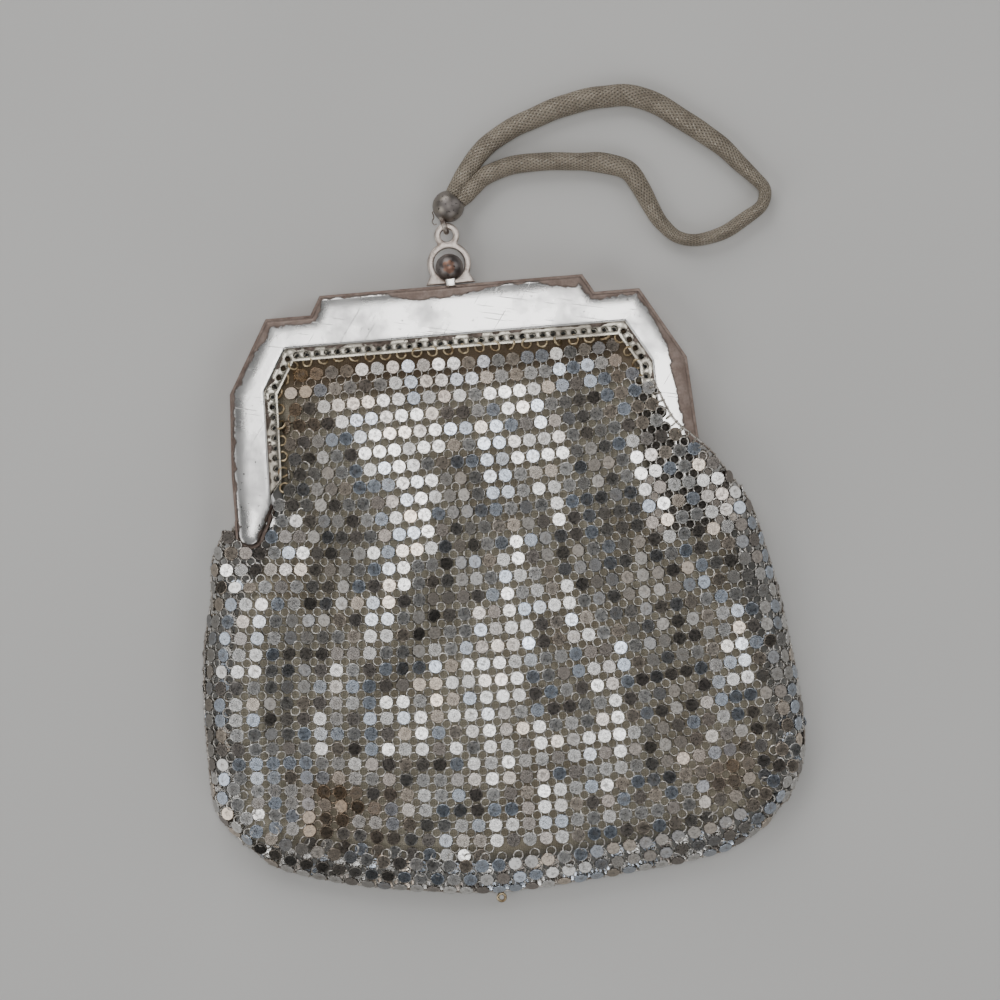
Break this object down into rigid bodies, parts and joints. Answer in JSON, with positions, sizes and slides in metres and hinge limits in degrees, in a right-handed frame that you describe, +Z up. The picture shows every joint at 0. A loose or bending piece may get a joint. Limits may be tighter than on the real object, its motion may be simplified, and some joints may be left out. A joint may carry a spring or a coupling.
{
  "type": "metal mesh purse",
  "caption": "Small evening purse of metal disc mesh on a stepped two-jaw metal frame, with a pierced strip, a ball clasp and a knitted wire strap, lying on its back.",
  "frame": {"origin": "middle of the bottom of the purse as it lies on its back, measured without the strap", "axes": "+Z up out of the front face, +Y towards the clasp and the strap, +X to the right seen from the front"},
  "size_m": [0.137, 0.1813, 0.0127],
  "materials": {
    "silver_plate": "worn silver plate, satin",
    "worn_metal": "dull, plate worn off",
    "tarnish": "dark tarnished polish",
    "disc_mesh": "flat discs, scratched, from bright to dark",
    "brass": "thin wire rings, dull gold",
    "champagne_cloth": "plain woven",
    "knit_wire": "fine knitted wire, dull"
  },
  "bodies": {
    "root": {"jaw_front": "silver_plate", "jaw_back": "silver_plate", "hinge_pin_left": "worn_metal", "hinge_pin_right": "worn_metal", "clasp_plate": "worn_metal", "clasp_ball": "tarnish", "front_lacing": "brass", "back_lacing": "brass", "mesh_bag": "disc_mesh", "lining": "champagne_cloth", "bottom_ring": "brass", "strap": "knit_wire", "strap_bead": "tarnish", "strap_link": "worn_metal"}
  },
  "joints": []
}
